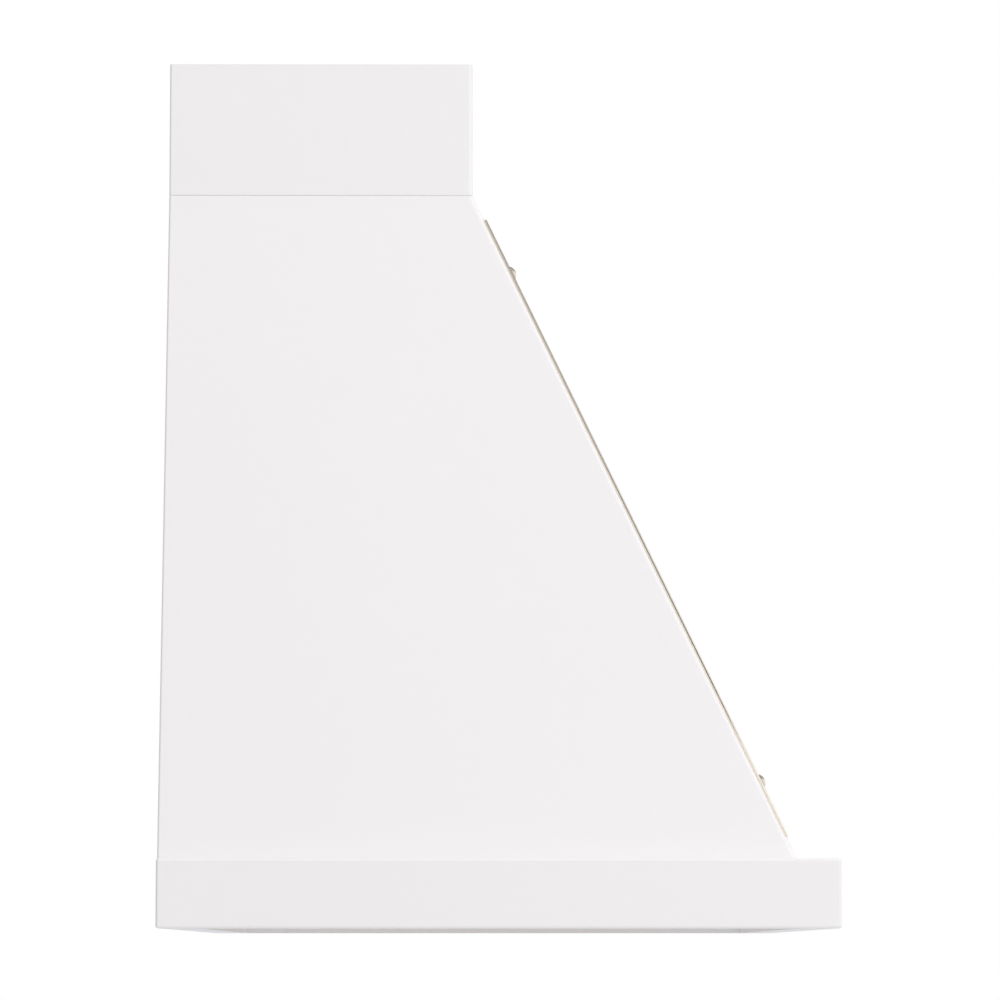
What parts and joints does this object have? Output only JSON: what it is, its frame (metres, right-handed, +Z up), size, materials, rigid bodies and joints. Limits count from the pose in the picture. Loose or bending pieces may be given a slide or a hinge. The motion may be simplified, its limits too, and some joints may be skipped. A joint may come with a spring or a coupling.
{
  "type": "range hood cover",
  "caption": "Painted wooden wall cover for a range hood: apron, leaning body and short chimney, open below and above for a hood insert and duct, with brass edge straps.",
  "frame": {"origin": "centre of the footprint, on the plane of the apron's bottom edges", "axes": "+X across the width to the right as seen from the room, +Y to the wall, +Z up"},
  "size_m": [0.9144, 0.58, 0.762],
  "materials": {
    "white_paint": "satin white paint on smooth board, bare on the hidden inner faces",
    "bare_timber": "planed unfinished poplar",
    "beech_dowel": "raw beech",
    "zinc_screw": "zinc plated",
    "brass": "pale polished brass, satin on its broad faces"
  },
  "bodies": {
    "root": {"apron_front": "white_paint", "apron_left": "white_paint", "apron_right": "white_paint", "apron_back": "white_paint", "liner_rail_front": "white_paint", "liner_rail_left": "white_paint", "liner_rail_right": "white_paint", "liner_rail_back": "white_paint", "base_frame_front": "white_paint", "base_frame_back": "white_paint", "base_frame_left": "white_paint", "base_frame_right": "white_paint", "front_panel": "white_paint", "left_side_panel": "white_paint", "right_side_panel": "white_paint", "chimney_front": "white_paint", "chimney_left": "white_paint", "chimney_right": "white_paint", "left_corner_block": "bare_timber", "right_corner_block": "bare_timber", "left_back_stile": "bare_timber", "right_back_stile": "bare_timber", "upper_nailer": "bare_timber", "lower_nailer": "bare_timber", "top_frame_front": "bare_timber", "top_frame_left": "bare_timber", "top_frame_right": "bare_timber", "chimney_wall_rail": "bare_timber", "chimney_cleat_front": "bare_timber", "chimney_cleat_left": "bare_timber", "chimney_cleat_right": "bare_timber", "chimney_block_left": "bare_timber", "chimney_block_right": "bare_timber", "apron_tongues": "beech_dowel", "apron_dowels": "beech_dowel", "base_frame_dowels": "beech_dowel", "stile_dowels": "beech_dowel", "nailer_dowels": "beech_dowel", "top_frame_dowels": "beech_dowel", "chimney_dowels": "beech_dowel", "liner_screws": "zinc_screw", "base_frame_screws": "zinc_screw", "top_frame_screws": "zinc_screw", "chimney_fixing_screws": "zinc_screw", "chimney_cleat_screws": "zinc_screw", "left_strap": "brass", "right_strap": "brass", "strap_buttons": "brass"}
  },
  "joints": []
}
